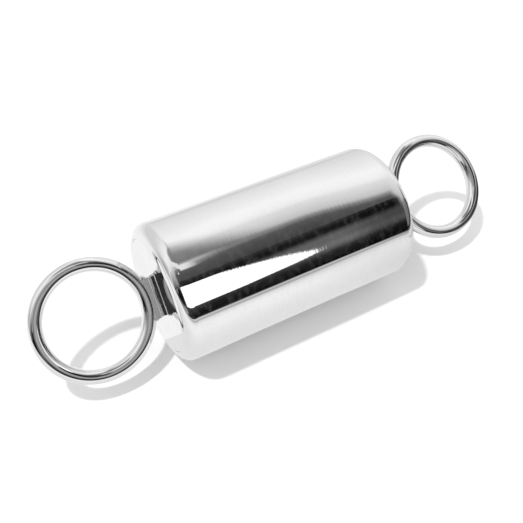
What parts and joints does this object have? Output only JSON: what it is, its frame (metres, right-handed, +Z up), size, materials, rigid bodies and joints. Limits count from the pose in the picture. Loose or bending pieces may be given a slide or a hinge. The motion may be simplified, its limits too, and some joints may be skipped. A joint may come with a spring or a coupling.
{
  "type": "magnet fishing magnet",
  "caption": "Sealed polished cylinder holding a magnet stack, with a swivelling welded pull ring at each end for a retrieval rope.",
  "frame": {"origin": "on the casing's axis, midway between its two end faces", "axes": "+X along the casing towards the right end, whose ring stands off further; +Z up with the casing lying on its side; +Y completes the frame"},
  "size_m": [0.1846, 0.05, 0.05],
  "materials": {
    "polished_casing": "mirror polished stainless steel",
    "polished_end_plate": "mirror polished stainless steel",
    "polished_ring": "mirror polished round bar",
    "turned_stud": "finely turned stainless steel",
    "polished_washer": "polished stainless steel",
    "bronze_bush": "oiled bronze",
    "seal_rubber": "matt",
    "machined_nut": "machined",
    "spring_steel": "blued spring steel",
    "core_brass": "drawn brass",
    "nickel_magnet": "nickel plated",
    "pole_steel": "ground mild steel",
    "spacer_aluminium": "turned"
  },
  "bodies": {
    "casing": {"casing_tube": "polished_casing", "left_end_plate": "polished_end_plate", "right_end_plate": "polished_end_plate", "left_casing_seal": "seal_rubber", "right_casing_seal": "seal_rubber", "left_shaft_seal": "seal_rubber", "right_shaft_seal": "seal_rubber", "left_swivel_bush": "bronze_bush", "right_swivel_bush": "bronze_bush", "core_rod": "core_brass", "left_core_nut": "core_brass", "right_core_nut": "core_brass", "magnet_1": "nickel_magnet", "magnet_2": "nickel_magnet", "magnet_3": "nickel_magnet", "magnet_4": "nickel_magnet", "inner_pole_1": "pole_steel", "inner_pole_2": "pole_steel", "inner_pole_3": "pole_steel", "left_end_pole": "pole_steel", "right_end_pole": "pole_steel", "left_spacer_ring": "spacer_aluminium", "right_spacer_ring": "spacer_aluminium", "preload_wave_spring": "spring_steel"},
    "left_eye": {"left_pull_ring": "polished_ring", "left_eye_stud": "turned_stud", "left_thrust_washer": "bronze_bush", "left_stud_nut": "machined_nut", "left_lock_pin": "spring_steel"},
    "right_eye": {"right_pull_ring": "polished_ring", "right_eye_stud": "turned_stud", "right_face_washer": "polished_washer", "right_thrust_washer": "bronze_bush", "right_stud_nut": "machined_nut", "right_lock_pin": "spring_steel"}
  },
  "joints": [
    {"name": "left_eye_swivel", "type": "hinge", "parent": "casing", "child": "left_eye", "pos_m": [-0.046, 0, 0], "axis": [-1, 0, 0], "continuous": true},
    {"name": "right_eye_swivel", "type": "hinge", "parent": "casing", "child": "right_eye", "pos_m": [0.046, 0, 0], "axis": [1, 0, 0], "continuous": true}
  ]
}
